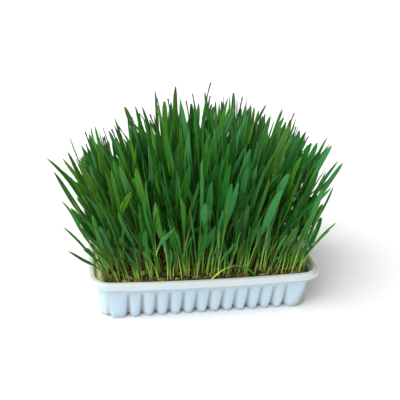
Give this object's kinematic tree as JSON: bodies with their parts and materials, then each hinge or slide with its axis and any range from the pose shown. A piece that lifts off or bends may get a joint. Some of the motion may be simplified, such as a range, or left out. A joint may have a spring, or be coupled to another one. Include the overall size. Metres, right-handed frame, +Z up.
{
  "type": "wheatgrass tray",
  "caption": "Shallow fluted plastic tray with a turned-down rim, filled with a sown bed from which a dense stand of young wheatgrass grows and fans out.",
  "frame": {"origin": "centre of the tray's flat underside", "axes": "+X along the tray's long side, -Y its front, +Z up along the shoots"},
  "size_m": [0.2248, 0.1487, 0.1591],
  "materials": {
    "plastic": "thin moulded plastic, white with a cool tint, glossy",
    "bed": "moist dark soil matted with roots and sprouted kernels, matt",
    "shoots": "living green leaf, pale at the foot, satin"
  },
  "bodies": {
    "root": {"tray": "plastic", "sown_bed": "bed", "clump_01": "shoots", "clump_02": "shoots", "clump_03": "shoots", "clump_04": "shoots", "clump_05": "shoots", "clump_06": "shoots", "clump_07": "shoots", "clump_08": "shoots", "clump_09": "shoots", "clump_10": "shoots", "clump_11": "shoots", "clump_12": "shoots", "clump_13": "shoots", "clump_14": "shoots", "clump_15": "shoots", "clump_16": "shoots", "clump_17": "shoots", "clump_18": "shoots", "clump_19": "shoots", "clump_20": "shoots", "clump_21": "shoots", "clump_22": "shoots", "clump_23": "shoots", "clump_24": "shoots", "clump_25": "shoots", "clump_26": "shoots", "clump_27": "shoots", "clump_28": "shoots", "clump_29": "shoots", "clump_30": "shoots", "clump_31": "shoots", "clump_32": "shoots", "clump_33": "shoots", "clump_34": "shoots", "clump_35": "shoots"}
  },
  "joints": []
}
